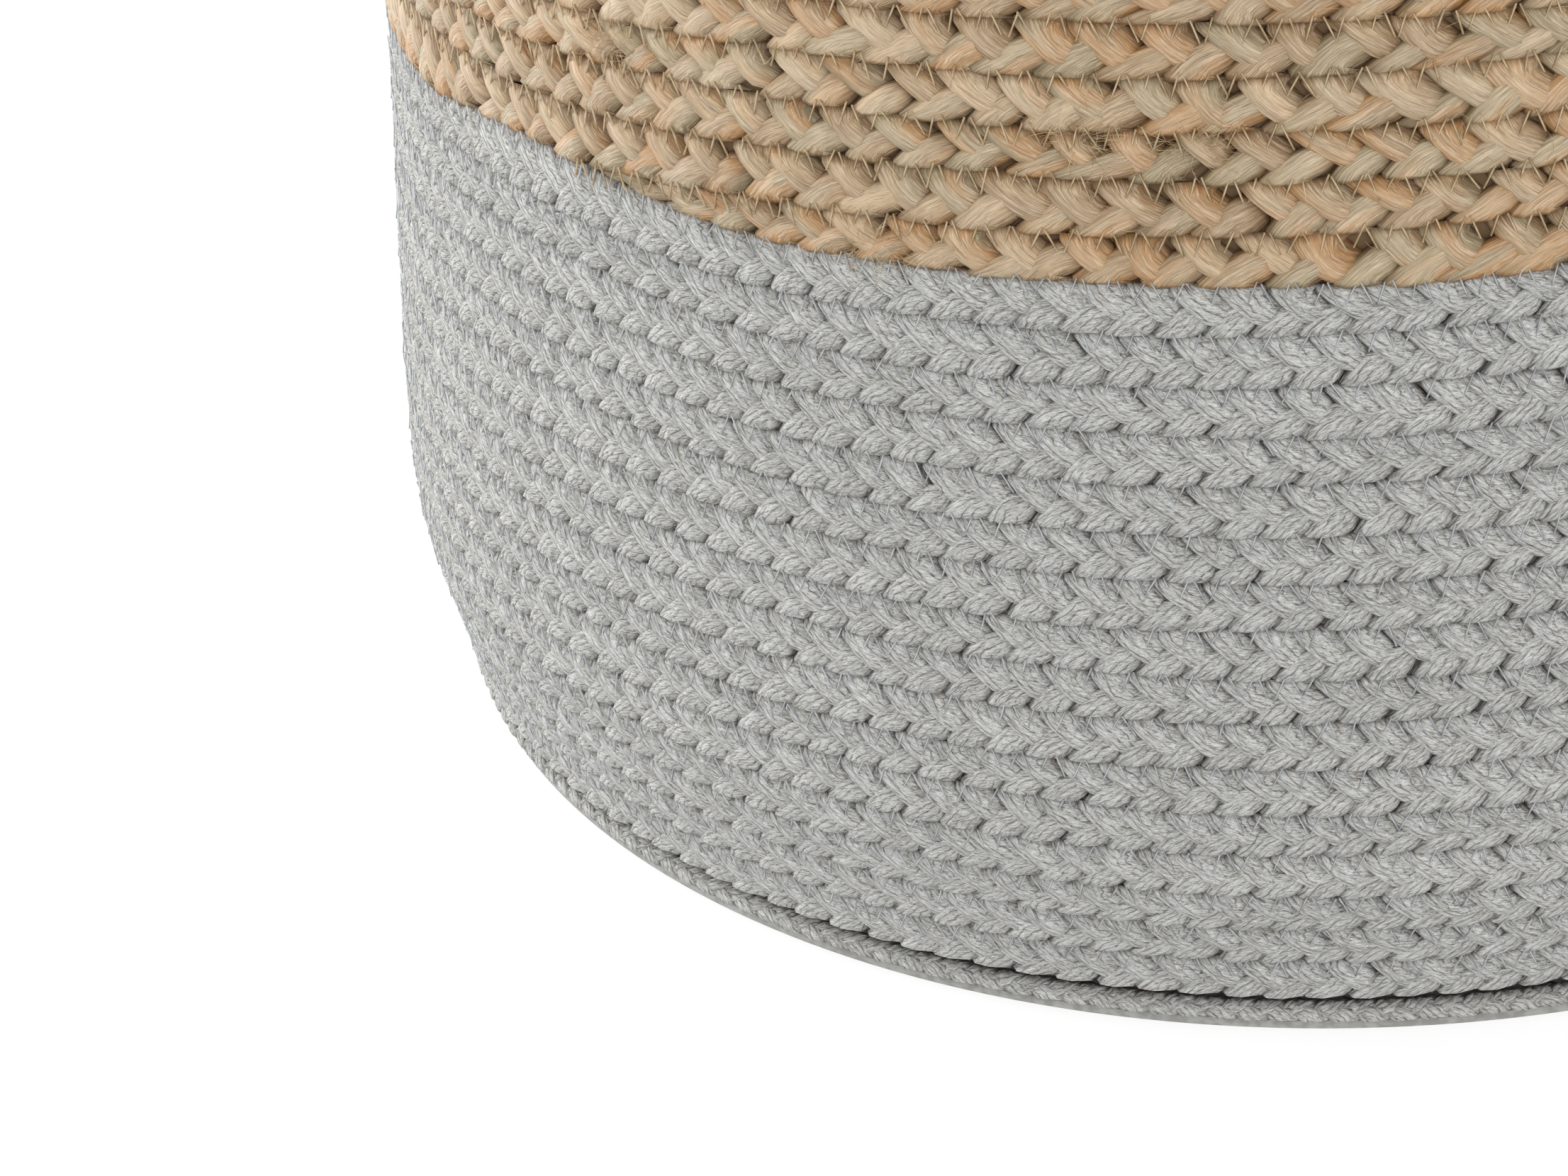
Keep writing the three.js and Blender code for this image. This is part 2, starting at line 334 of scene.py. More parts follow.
def leaves(name, tops, bottoms, flipped, finish, coords, tones):
    """A closed leaf for each grid of tops[leaf, step, side]: smooth quads on top, and a fan
    from the grid's border to one point of bottoms under it. coords are its UVs, tones its
    colours, and a flipped leaf has its corners in the other order, to face outwards."""
    count, steps, sides = tops.shape[:3]
    size = steps * sides
    grid = np.arange(size).reshape(steps, sides)
    quads = np.stack([grid[:-1, :-1], grid[1:, :-1], grid[1:, 1:], grid[:-1, 1:]], axis=-1)
    border = np.concatenate([grid[:-1, 0], grid[-1, :-1], grid[:0:-1, -1], grid[0, :0:-1]])
    fan = np.stack([border, np.full(len(border), size), np.roll(border, -1)], axis=-1)
    first = np.arange(count)[:, None, None] * (size + 1)
    turn = flipped[:, None, None]
    quads, fan = quads.reshape(-1, 4) + first, fan + first
    quads = np.where(turn, quads[:, :, ::-1], quads).reshape(-1, 4)
    fan = np.where(turn, fan[:, :, ::-1], fan).reshape(-1, 3)

    def with_bottom(values, below):
        """The grid's values and the bottom's, leaf by leaf."""
        flat = values.reshape(count, size, -1)
        return np.concatenate([flat, below], axis=1).reshape(-1, flat.shape[-1])

    middle = (steps // 2) * sides + sides // 2
    points = with_bottom(tops, bottoms[:, None])
    uv = with_bottom(coords, coords.reshape(count, size, -1)[:, middle, None])
    tone = with_bottom(tones, tones.reshape(count, size, -1)[:, middle, None])
    piece = add_piece(name, points, [quads, fan], [True, True], finish)
    corners = np.concatenate([quads.reshape(-1), fan.reshape(-1)])
    layer = piece.data.uv_layers.new(name="strand").data
    layer.foreach_set("uv", uv[corners].reshape(-1).astype(np.float32))
    layer = piece.data.attributes.new("tone", "FLOAT_COLOR", "POINT").data
    layer.foreach_set("color", tone.reshape(-1).astype(np.float32))
    return piece


# %% A row on a coil
samples_per_turn = 180


def turns_between(start, end):
    """Turns of a coil from start to end, in small even steps."""
    return np.linspace(start, end, int((end - start) * samples_per_turn) + 2)


def length_up_to(turns, radius):
    """The length of a coil up to each of its turns: the sum of the short arcs before it."""
    arcs = 2 * np.pi * radius * np.gradient(turns)
    return np.cumsum(arcs) - arcs[0]


class Coil:
    """A row laid on a line between two edges, and the length of braid up to each turn. It
    takes a share, uneven, of the body's unevenness, and shift moves it sideways. A turn
    counts as a circle at least tightest rows in radius."""

    tightest = 0.3
    widest, narrowest, thinning = 1.6, 0.12, 0.6
    sunk = 3 * MM

    def __init__(self, line, edges, start, end, row, uneven=1.0, shift=(0, 0, 0)):
        self.line, self.edges, self.row, self.uneven = line, edges, row, uneven
        self.shift = np.array(shift)
        self.turns = turns_between(start, end)
        upper, lower = edges(self.turns)
        radius = np.maximum(line.at((upper + lower) / 2)[0], self.tightest * row)
        self.run = length_up_to(self.turns, radius)

    def turn_at(self, run):
        """The turn of the coil that a length of braid reaches."""
        return np.interp(run, self.run, self.turns)

    def run_at(self, turns):
        """The length of braid up to a turn of the coil."""
        return np.interp(turns, self.turns, self.run)

    def place(self, run, across, out):
        """World points of a straight braid's points: run along it, across it from its middle,
        down being more, and out of it. Where the row narrows to a share of its width, so does
        the braid. Its height shrinks by that share to the power thinning, and it sinks in."""
        turns = self.turn_at(run)
        upper, lower = self.edges(turns)
        share = np.clip((lower - upper) / self.row, 0, self.widest)
        flat = np.clip(share, self.narrowest, 1) ** self.thinning
        along = (upper + lower) / 2 + across * share
        lifted = out * flat - (1 - flat) * self.sunk
        return on_wall(self.line, along, turns, lifted, self.uneven) + self.shift


# %% The lobes of a braid
class Braid:
    """Two ranks of lobes, one from each edge of the row. Along a lobe u runs from -1 in the
    seam to 1 at its tip, and across it v from -1, tucked under a neighbour, to 1, over the
    next. From u = ridge, t grows from 0 to 1 at the tip, and s from 0 to 1 in the seam.

    The height is lift + rise (1 - dive t^2.5 - fall s^2), less crown (1 - (1 - |v|^2.2)^0.5),
    plus shingle v, less a groove that grows with the square of the way from flat rows off the
    middle to the row's edge. The half width is wide (1 - taper t^2.2), times 1 - pinch s^2
    where v is over 0, and under + fan s elsewhere. The middle bows out by bow (1 - u^2).
    Sections are square to the lobe at the tip, and in the seam they lie along the row, by the
    share shear, so that the lobes close up there.

    A period is three lobes. slant, tips and wide have a value for each rank, and tips says
    how far below the middle of the row they end, in rows. The lower rank lies stagger lobes
    further on. The lobes differ by what spread names, scaled by uneven, and by their tints."""

    spread = {"slip": 0.05, "drift": 0.015, "turn": 3.0, "long": 0.03, "wide": 0.07,
              "lift": 0.16 * MM, "bow": 0.5}
    tints = ("shade", "gold", "straw")
    tint_spread, lobes_per_drift, own_share, drift_share = 0.2, 9, 0.8, 0.6
    under, fan, shear, stagger = 1.15, 0.4, 0.95, 0.5
    seam_reach, crowding = 0.55, 1.25
    keel = 2.5 * MM
    lowest_top, lowest_keel = 0.3 * MM, 0.4 * MM

    def __init__(self, coil, make, rng):
        self.coil, self.make = coil, make
        self.spacing = make["period"] / 3
        count = int(coil.run[-1] / self.spacing) + 1
        self.own = {kind: rng.normal(0, 1, (2, count)) for kind in (*self.spread, *self.tints)}
        for kind in self.tints:
            slow = rng.normal(0, 1, (2, count // self.lobes_per_drift + 2))
            place = np.arange(count) / self.lobes_per_drift
            drift = np.array([np.interp(place, np.arange(slow.shape[1]), row) for row in slow])
            self.own[kind] = self.own_share * self.own[kind] + self.drift_share * drift

    def lobes(self, start, end):
        """The measures of the lobes between two turns of the coil, one number for each lobe.
        side is -1 for the upper rank and 1 for the lower."""
        make, row, uneven = self.make, self.coil.row, self.make["uneven"]
        slip = self.spread["slip"] * uneven * self.own["slip"]
        ranks = np.array([[0.0], [self.stagger]])
        run = (np.arange(slip.shape[1]) + 0.5 + ranks + slip) * self.spacing
        chosen = (run >= self.coil.run_at(start)) & (run < self.coil.run_at(end))
        rank = np.broadcast_to([[0], [1]], run.shape)[chosen]
        side = 2 * rank - 1
        own = {kind: size * uneven * self.own[kind][chosen]
               for kind, size in self.spread.items()}
        slant = np.radians(np.array(make["slant"])[rank] + own["turn"])
        seam_end = (self.seam_reach + own["drift"]) * row * side
        tip = (np.array(make["tips"])[rank] + own["long"]) * row
        measures = {
            "run": run[chosen], "side": side, "cos": np.cos(slant), "sin": np.sin(slant),
            "middle": (seam_end + tip) / 2,
            "half": np.abs(tip - seam_end) / 2 / np.sin(slant),
            "wide": np.array(make["wide"])[rank] * (1 + own["wide"]),
            "lift": make["lift"] + own["lift"],
            "bow": make["bow"] * (1 + own["bow"]),
        }
        for kind in self.tints:
            measures[kind] = 0.5 + self.tint_spread * self.own[kind][chosen]
        return {name: values[:, None, None] for name, values in measures.items()}

    def shape(self, lobe, u, v):
        """Where the points u and v of the lobes lie on the straight braid: along it, across
        it and out of it."""
        make, sin, cos = self.make, lobe["sin"], lobe["cos"]
        ridge = make["ridge"]
        to_tip = np.maximum(u - ridge, 0) / (1 - ridge)
        to_seam = np.maximum(ridge - u, 0) / (1 + ridge)
        along = u * lobe["half"]
        at_seam = np.where(v > 0, 1 - make["pinch"] * to_seam ** 2,
                           self.under + self.fan * to_seam)
        across = v * lobe["wide"] * (1 - make["taper"] * to_tip ** 2.2) * at_seam
        bent = lobe["bow"] * (1 - u * u)
        sheared = self.shear * smoothstep(to_seam, 0.0, 1.0)
        along_row = across * (sin + sheared * cos * cos / sin)
        across_row = (across * (1 - sheared) + bent) * cos
        x = lobe["run"] + make["sense"] * (along_row + bent * sin - along * cos)
        y = lobe["middle"] - lobe["side"] * (along * sin + across_row)

        arch = 1 - make["dive"] * to_tip ** 2.5 - make["fall"] * to_seam ** 2
        round_off = (1 - np.abs(v) ** 2.2) ** 0.5
        z = lobe["lift"] + make["rise"] * arch - make["crown"] * (1 - round_off)
        z = z + make["shingle"] * v
        past = np.maximum(np.abs(y) / self.coil.row - make["flat"], 0) / (0.5 - make["flat"])
        z = z - make["groove"] * np.where(past < 1, past ** 2, 2 * past - 1)
        return x, y, z

    def lay(self, name, start, end, steps, sides, finish):
        """The lobes between two turns of the coil, each with so many points along and across,
        closer together towards the seam and the sides. Their UVs are decimetres along and
        across the lobe, each lobe apart from the last so that it has noise of its own. Their
        colours are the tints, and how deep a point lies below the ridge, in crowns, from which
        the finishes paint shade deep down, and on the jute a highlight on top."""
        make, lobe = self.make, self.lobes(start, end)
        u = -1 + 2 * np.linspace(0, 1, steps)[:, None] ** self.crowding
        v = np.sin(np.linspace(-np.pi / 2, np.pi / 2, sides))
        x, y, z = self.shape(lobe, u, v)
        tops = self.coil.place(x, y, z)
        keels = self.coil.place(lobe["run"], lobe["middle"], lobe["lift"] - self.keel)[:, 0, 0]
        tops[..., 2] = np.maximum(tops[..., 2], self.lowest_top)
        keels[..., 2] = np.maximum(keels[..., 2], self.lowest_keel)

        decimetre, apart = 100 * MM, 1.37
        number = np.arange(len(keels))[:, None, None]
        coords = np.stack(np.broadcast_arrays(
            u * lobe["half"] / decimetre + number * apart, v * lobe["wide"] / decimetre), axis=-1)
        depth = (make["lift"] + make["rise"] - z) / make["crown"]
        tones = np.stack(np.broadcast_arrays(*(lobe[kind] for kind in self.tints), depth), axis=-1)
        flipped = (lobe["side"][:, 0, 0] > 0) ^ (make["sense"] > 0)
        return leaves(name, tops, keels, flipped, finish, coords, tones)

# %% [markdown]
# ## Floor and light
# The ground is almost pure white, and the pouf is lit softly from the left. So the floor is
# plain, a large soft light stands low to the left and a little behind, a weak one in front and
# a wide one overhead, and a white sky fills the shadows. The Standard view keeps white white.

# %% Floor, lights and the look of the picture
light_target = np.array([0.0, 0.0, 0.18])


def area_light(name, place, size, power):
    """A square soft light at a place, turned to face the middle of the pouf."""
    data = bpy.data.lights.new(name, "AREA")
    data.size = size
    data.energy = power
    lamp = bpy.data.objects.new(name, data)
    back = np.array(place) - light_target
    back /= np.linalg.norm(back)
    right = np.cross([0, 0, 1], back)
    right /= np.linalg.norm(right)
    axes = np.eye(4)
    axes[:3, :] = np.column_stack([right, np.cross(back, right), back, place])
    lamp.matrix_world = Matrix(axes)
    bpy.context.scene.collection.objects.link(lamp)


area_light("left_light", (-2.5, 0.7, 0.5), 1.6, 72)
area_light("front_light", (0.3, -2.4, 1.1), 1.8, 18)
area_light("top_light", (0.2, -0.3, 2.4), 2.2, 16)

world = bpy.data.worlds.new("studio")
world.use_nodes = True
sky = world.node_tree.nodes["Background"].inputs
sky["Color"].default_value = (1.0, 1.0, 1.0, 1.0)
sky["Strength"].default_value = 0.75
bpy.context.scene.world = world
bpy.context.scene.view_settings.view_transform = "Standard"

floor_half = 12.0
floor_mesh = bpy.data.meshes.new("floor")
floor_mesh.from_pydata([(x * floor_half, y * floor_half, 0)
                        for x, y in ((-1, -1), (1, -1), (1, 1), (-1, 1))], [], [(0, 1, 2, 3)])
floor = bpy.data.objects.new("floor", floor_mesh)
bpy.context.scene.collection.objects.link(floor)
print(f"floor {2 * floor_half:.0f} m wide, and {len(bpy.data.lights)} soft lights")

# %% [markdown]
# ## Shader arithmetic
# A finish is easier to read as a formula than as a drawing of nodes. A Field wraps one output
# socket, and adding or multiplying Fields adds the Math nodes for it. Every other node comes
# from one method, which takes the node's type, its settings and the values of its sockets.

# %% Fields
class Field:
    """A number that varies over a surface: one socket of a material's node tree."""

    def __init__(self, finish, socket):
        self.finish, self.socket = finish, socket

    def math(self, operation, *values):
        """A Math node that works out an operation on values."""
        return self.finish.node("ShaderNodeMath", {"operation": operation},
                                dict(enumerate(values)))

    def __abs__(self):
        return self.math("ABSOLUTE", self)

    def __add__(self, other):
        return self.math("ADD", self, other)

    def __sub__(self, other):
        return self.math("SUBTRACT", self, other)

    def __rsub__(self, other):
        return self.math("SUBTRACT", other, self)

    def __mul__(self, other):
        return self.math("MULTIPLY", self, other)

    def __pow__(self, other):
        return self.math("POWER", self, other)

    def __rpow__(self, other):
        return self.math("POWER", other, self)

    __radd__, __rmul__ = __add__, __mul__

    def sine(self):
        """The sine of an angle in radians."""
        return self.math("SINE", self)

    def ramp(self, low, high):
        """A soft step from 0 at low to 1 at high. It falls where low is more than high."""
        return self.finish.node("ShaderNodeMapRange", {"interpolation_type": "SMOOTHSTEP"},
                                {0: self, 1: low, 2: high, 3: 0.0, 4: 1.0})

    def beside(self, output):
        """Another output of the same node."""
        return Field(self.finish, self.socket.node.outputs[output])


class Finish:
    """A material and its node tree, with one Principled shader."""

    def __init__(self, name, **constants):
        self.material = bpy.data.materials.new(name)
        self.material.use_nodes = True
        self.tree = self.material.node_tree
        self.shader = self.tree.nodes["Principled BSDF"]
        for socket, value in constants.items():
            self.shader.inputs[socket.replace("_", " ").title()].default_value = value

    def node(self, kind, settings=None, values=None, output=0):
        """Adds a node, sets it up, fills or links its sockets, and wraps one output."""
        made = self.tree.nodes.new(kind)
        for setting, value in (settings or {}).items():
            setattr(made, setting, value)
        for socket, value in (values or {}).items():
            self.feed(made.inputs[socket], value)
        return Field(self, made.outputs[output])

    def feed(self, socket, value):
        """Links a Field to a socket, or sets the socket to a plain value."""
        if isinstance(value, Field):
            self.tree.links.new(value.socket, socket)
        else:
            socket.default_value = value

    def mix(self, share, first, second):
        """Goes from the first colour to the second as share goes from 0 to 1. The Mix node's
        colours are sockets 6 and 7, and output 2."""
        return self.node("ShaderNodeMix", {"data_type": "RGBA"},
                         {0: share, 6: first, 7: second}, output=2)

    def layers(self, tints, ground, shares):
        """Lays named tints over the ground's, one after the other, each by its own share."""
        colour = (*tints[ground], 1.0)
        for name, share in shares.items():
            colour = self.mix(share, colour, (*tints[name], 1.0))
        return colour

    def noise(self, vector, scale, detail=1.0, roughness=0.5):
        """Soft random values about 0.5 at a scale."""
        return self.node("ShaderNodeTexNoise", {},
                         {"Vector": vector, "Scale": scale, "Detail": detail,
                          "Roughness": roughness})

    def streaks(self, x, y, z, detail=1.0, roughness=0.5):
        """Noise that changes as often as each of three numbers says."""
        vector = self.node("ShaderNodeCombineXYZ", {}, {0: x, 1: y, 2: z})
        return self.noise(vector, 1.0, detail, roughness)

    def uv(self):
        """The two numbers of the strand's UV map: decimetres along the lobe and across it."""
        place = self.node("ShaderNodeUVMap", {"uv_map": "strand"})
        along = self.node("ShaderNodeSeparateXYZ", {}, {0: place}, output="X")
        return along, along.beside("Y")

    def tones(self):
        """The lobe's three tints, random numbers about 0.5, and how deep the place lies, which the
        finishes use for painted shade and a painted highlight.
        """
        tone = self.node("ShaderNodeAttribute", {"attribute_name": "tone"})
        shade = self.node("ShaderNodeSeparateColor", {}, {0: tone}, output="Red")
        return shade, shade.beside("Green"), shade.beside("Blue"), tone.beside("Alpha")

    def finish(self, colour, height=None, relief=0.0):
        """Feeds the shader its colour, and a bump as deep as relief of a height field."""
        self.feed(self.shader.inputs["Base Color"], colour)
        if height is not None:
            normal = self.node("ShaderNodeBump", {},
                               {"Strength": 1.0, "Distance": relief, "Height": height})
            self.feed(self.shader.inputs["Normal"], normal)
        return self.material


# %% [markdown]
# ## Finishes
# A jute strand is combed fibre with hardly any twist: long straight streaks, in a tone that
# changes from lobe to lobe. A cotton strand is a few soft grey yarns side by side, with short
# fuzz. Images wrapped round the lobes would do, but noise stretched along each lobe's own UV
# map follows its slant and bow, and never repeats. Streaks are told how often they change in
# a decimetre, along the lobe and across it, and a tint gives each lobe a part of its own.

# %% Jute fibre
jute_tints = {
    "dark lock": (0.24, 0.143, 0.062), "light lock": (0.35, 0.228, 0.112),
    "gold": (0.42, 0.20, 0.055), "grey": (0.28, 0.235, 0.135), "bleached": (0.53, 0.41, 0.265),
    # ridge is the colour of a painted highlight on the crests, crotch that of painted shade deep
    # between the lobes.
    "ridge": (0.68, 0.54, 0.38), "crotch_shade": (0.095, 0.045, 0.015),
    "light strand": (0.72, 0.58, 0.40), "dark strand": (0.14, 0.077, 0.03),
    "light fibre": (0.78, 0.65, 0.48), "dark fibre": (0.12, 0.066, 0.028),
}


def jute_finish():
    """Locks, strands and fibres are noise, ever finer across the lobe, that runs with it and
    sways a little. The lobe's tints and broad hanks turn it golden or greenish grey. A painted
    highlight lightens each lobe where it stands highest, and painted shade darkens it deep
    between the lobes."""
    finish = Finish("jute_fibre", roughness=0.55)
    along, across = finish.uv()
    shade, gold, straw, depth = finish.tones()
    sway = finish.streaks(along * 12.0, across * 24.0, straw) * 0.014
    bent = across + sway
    locks = finish.streaks(along * 9.0, bent * 70.0, straw)
    hanks = finish.streaks(along * 6.0, bent * 32.0, gold, 0.0)
    strands = finish.streaks(along * 14.0, bent * 270.0, shade)
    fibres = finish.streaks(along * 26.0, bent * 680.0, gold, 2.0, 0.7)
    colour = finish.layers(jute_tints, "dark lock", {
        "light lock": locks.ramp(0.3, 0.7),
        "gold": (gold * 0.7 + hanks * 0.7).ramp(0.66, 0.86) * 0.85,
        "grey": (straw * 0.7 - hanks * 0.7).ramp(0.05, 0.22) * 0.85,
        "bleached": shade.ramp(0.5, 0.85) * 0.65,
        # painted highlight: lighter where the lobe stands highest
        "ridge": depth.ramp(0.45, -0.15) * 0.42,
        "light strand": strands.ramp(0.52, 0.75) * 0.4,
        "dark strand": strands.ramp(0.48, 0.25) * 0.4,
        "light fibre": fibres.ramp(0.5, 0.70) * 0.5,
        "dark fibre": fibres.ramp(0.5, 0.30) * 0.45,
        # painted shade: darker the deeper the place lies between the lobes
        "crotch_shade": depth.ramp(0.15, 1.1) * 0.8,
    })
    return finish.finish(colour, locks * 0.45 + strands * 0.33 + fibres * 0.22, 0.9 * MM)


# %% Cotton yarn
cotton_tints = {
    "dark lobe": (0.445, 0.45, 0.43), "light lobe": (0.515, 0.52, 0.50),
    "light fibre": (0.72, 0.725, 0.70), "dark fibre": (0.18, 0.155, 0.125),
    "light fluff": (0.72, 0.72, 0.70), "dark fluff": (0.20, 0.17, 0.14),
    # groove and crotch are colours of painted shade: in the lines between yarns, and deep between
    # the lobes.
    "groove": (0.10, 0.078, 0.058), "crotch_shade": (0.10, 0.085, 0.07),
}


def cotton_finish():
    """Yarns laid side by side in each lobe: a rounded ridge for each yarn, from the size of a
    sine across the lobe, short fibres that slant over it, and painted shade in patches of the
    lines where yarns part. Painted shade also darkens the lobes deep between each other."""
    finish = Finish("cotton_yarn", roughness=0.95)
    along, across = finish.uv()
    shade, gold, straw, depth = finish.tones()
    sway = finish.streaks(along * 26.0, across * 30.0, straw)
    yarns = abs(((across * 62.0 + sway * 1.6) * np.pi).sine())
    slanted = across * 300.0 + along * 120.0
    fibres = finish.streaks(along * 60.0, slanted, straw, 2.0, 0.7)
    fluff = finish.streaks(along * 160.0, slanted * 2.2, gold, 1.0, 0.6)
    patches = finish.streaks(along * 48.0, across * 75.0, gold)
    colour = finish.layers(cotton_tints, "dark lobe", {
        "light lobe": shade.ramp(0.2, 0.9),
        "light fibre": fibres.ramp(0.51, 0.64) * 0.65,
        "dark fibre": fibres.ramp(0.48, 0.36) * 0.75,
        "light fluff": fluff.ramp(0.54, 0.68) * 0.5,
        "dark fluff": fluff.ramp(0.46, 0.34) * 0.5,
        # painted shade in patches of the lines where yarns part
        "groove": yarns.ramp(0.38, 0.06) * patches.ramp(0.46, 0.58) * 0.55,
        # painted shade: darker the deeper the place lies between the lobes
        "crotch_shade": depth.ramp(0.3, 1.2) * 0.8,
    })
    return finish.finish(colour, (yarns ** 0.6) * 0.45 + fibres * 0.4 + fluff * 0.15, 1.1 * MM)


# %% Threads and plain finishes
def thread_finish(name, colour, dark):
    """A tight twisted thread: a mid tone with small darker patches."""
    finish = Finish(name, roughness=0.6)
    place = finish.node("ShaderNodeTexCoord", output="Object")
    blotches = finish.noise(place, 400.0)
    return finish.finish(finish.mix(blotches.ramp(0.35, 0.65), (*dark, 1.0), (*colour, 1.0)))


def plain_finish(name, colour, roughness, glow=0.0):
    """One colour, for the floor and for what lies in shadow behind the braids. The floor also
    glows, like a lit white sweep, so that the pouf casts hardly any shadow on it."""
    finish = Finish(name, roughness=roughness, emission_color=(1, 1, 1, 1), emission_strength=glow)
    return finish.finish((*colour, 1.0))


# %% All finishes
jute_fibre = jute_finish()
cotton_yarn = cotton_finish()
jute_thread = thread_finish("jute_thread", (0.58, 0.45, 0.28), (0.40, 0.29, 0.16))
jute_hair = thread_finish("jute_hair", (0.66, 0.50, 0.30), (0.38, 0.25, 0.12))
grey_thread = thread_finish("grey_thread", (0.52, 0.54, 0.55), (0.36, 0.37, 0.38))
base_cloth = thread_finish("base_cloth", (0.33, 0.33, 0.31), (0.24, 0.235, 0.22))
floor_white = plain_finish("floor_white", (0.15, 0.15, 0.15), 0.9, glow=0.87)
jute_shadow = plain_finish("jute_shadow", (0.17, 0.105, 0.055), 0.95)
cotton_shadow = plain_finish("cotton_shadow", (0.20, 0.19, 0.175), 0.95)
floor.data.materials.append(floor_white)
for material in (jute_fibre, cotton_yarn, jute_thread):
    print(f"{material.name}: {len(material.node_tree.nodes)} nodes")

# %% [markdown]
# ## The braids
# Both braids are about as wide as their row. The jute one is plump and loose, the cotton one
# tighter and more even. Each is made as one long braid, and cut into a few pieces behind the
# pouf, because all of it in one mesh would be too heavy. On the crown a lobe has fewer points.

# %% Braids
jute_make = {
    "period": 36.5 * MM, "slant": (34, 28), "tips": (0.25, -0.09), "wide": (3.9 * MM, 4.0 * MM),
    "taper": 0.45, "pinch": 0.35, "bow": 1.25 * MM, "lift": -2.6 * MM, "rise": 3.6 * MM,
    "ridge": -0.05, "dive": 1.15, "fall": 0.15, "crown": 3.4 * MM, "shingle": 0.9 * MM,
    "flat": 0.28, "groove": 1.0 * MM, "uneven": 1.1, "sense": 1,
}
cotton_make = {
    "period": 28.5 * MM, "slant": (38, 42), "tips": (0.20, -0.09), "wide": (3.7 * MM, 4.0 * MM),
    "taper": 0.6, "pinch": 0.25, "bow": 0.8 * MM, "lift": -1.7 * MM, "rise": 2.2 * MM,
    "ridge": -0.10, "dive": 1.1, "fall": 0.2, "crown": 2.5 * MM, "shingle": 0.75 * MM,
    "flat": 0.38, "groove": 0.9 * MM, "uneven": 0.6, "sense": 1,
}
crown_start, crown_end, shoulder_end, jute_end = 0.55, 17.5, 25.5, tail_tip - 0.002
cotton_ends = cotton_first + 0.02, jute_rows + 5.5, jute_rows + 10.5, rim_end - 0.005

rng = np.random.default_rng(11)
jute_coil = Coil(wall, jute_edges, crown_start, jute_end, jute_pitch)
jute_braid = Braid(jute_coil, jute_make, rng)
jute_braid.lay("jute_crown_braid", crown_start, crown_end, 6, 4, jute_fibre)
jute_braid.lay("jute_shoulder_braid", crown_end, shoulder_end, 7, 5, jute_fibre)
jute_braid.lay("jute_wall_braid", shoulder_end, jute_end, 7, 6, jute_fibre)

cotton_coil = Coil(wall, cotton_edges, cotton_ends[0], cotton_ends[-1], cotton_pitch)
cotton_braid = Braid(cotton_coil, cotton_make, rng)
for part, start, end in zip(("upper", "middle", "lower"), cotton_ends, cotton_ends[1:]):
    cotton_braid.lay(f"cotton_{part}_braid", start, end, 7, 5, cotton_yarn)

# %% [markdown]
# ## The base
# Under the pouf the same cotton braid lies flat in a coil. Its line starts in the gap under
# the rim, rounds the edge and runs to the axis. Only the outermost row shows from the front,
# below a dark gap: a narrow band of finer and flatter lobes, over a smooth cord. It has to look
# level, so the outer rows are rings, each with a short step inwards at the back, and a plain
# spiral follows. The band shows in front and not at the left, so the base lies a little off
# the axis, towards the front right.

# %% Base coil
base_stations = MM * np.array([[221.7, 8.4], [226.1, 7.4], [227.9, 4.8], [226.7, 2.2],
                               [221.7, 1.2], [205, 1.0], [150, 1.0], [0, 1.0]])
off_axis = MM * np.array([0.8, -1.4, 0.0])
base_line = Line(smooth_line(base_stations, samples_per_span))
base_row = 10.7 * MM
base_step = 0.12
base_level = (1.5, 4.5)


def base_seam_at(turns):
    """The seam inside a turn of the base coil: a level ring with its step, then more and more
    the spiral that goes in by one row a turn."""
    whole = np.floor(turns - 0.5)
    ring = whole + smoothstep(turns - 0.5 - whole, 0.0, base_step)
    return base_row * (turns + (ring - turns) * (1 - smoothstep(turns, *base_level)))


def base_edges(turns):
    """Outer and inner edge of the base row at a turn of its coil, counted from the rim."""
    return base_seam_at(turns - 1), base_seam_at(turns)


base_start, base_cut = 0.5, 1.7
base_end = base_line.length / base_row - 0.1
base_make = {**cotton_make, "sense": -1, "period": 34 * MM}
edge_make = {**base_make, "period": 20 * MM, "slant": (46, 46), "wide": (3.1 * MM, 3.1 * MM),
             "lift": -0.7 * MM, "rise": 0.8 * MM, "crown": 0.7 * MM, "shingle": 0.1 * MM,
             "flat": 0.2, "groove": 2.4 * MM, "uneven": 0.3}
for name, make, start, end, steps, sides in (
        ("base_edge_braid", edge_make, base_start, base_cut, 6, 4),
        ("base_braid", base_make, base_cut, base_end, 4, 3)):
    coil = Coil(base_line, base_edges, start, end, base_row, uneven=0.0, shift=off_axis)
    Braid(coil, make, rng).lay(name, start, end, steps, sides, cotton_yarn)

# %% Cord round the foot
# A small circle is carried round a large one, off the axis like the base rows.
cord_radius, cord_height, cord_thick = 224.3 * MM, 3.0 * MM, 4.8 * MM
around, sides = 240, 10
turns = np.arange(around)[:, None] / around
section = 2 * np.pi * np.arange(sides) / sides
out = cord_radius + cord_thick / 2 * np.cos(section)
points = np.stack(np.broadcast_arrays(
    -out * np.sin(2 * np.pi * turns), -out * np.cos(2 * np.pi * turns),
    cord_height + cord_thick / 2 * np.sin(section)), axis=-1) + off_axis
corner = np.arange(around * sides).reshape(around, sides)
onward = np.roll(corner, -1, axis=0)
quads = np.stack([corner, np.roll(corner, -1, axis=1), np.roll(onward, -1, axis=1), onward],
                 axis=-1)
add_piece("base_cord", points, [quads.reshape(-1, 4)], [True], base_cloth)

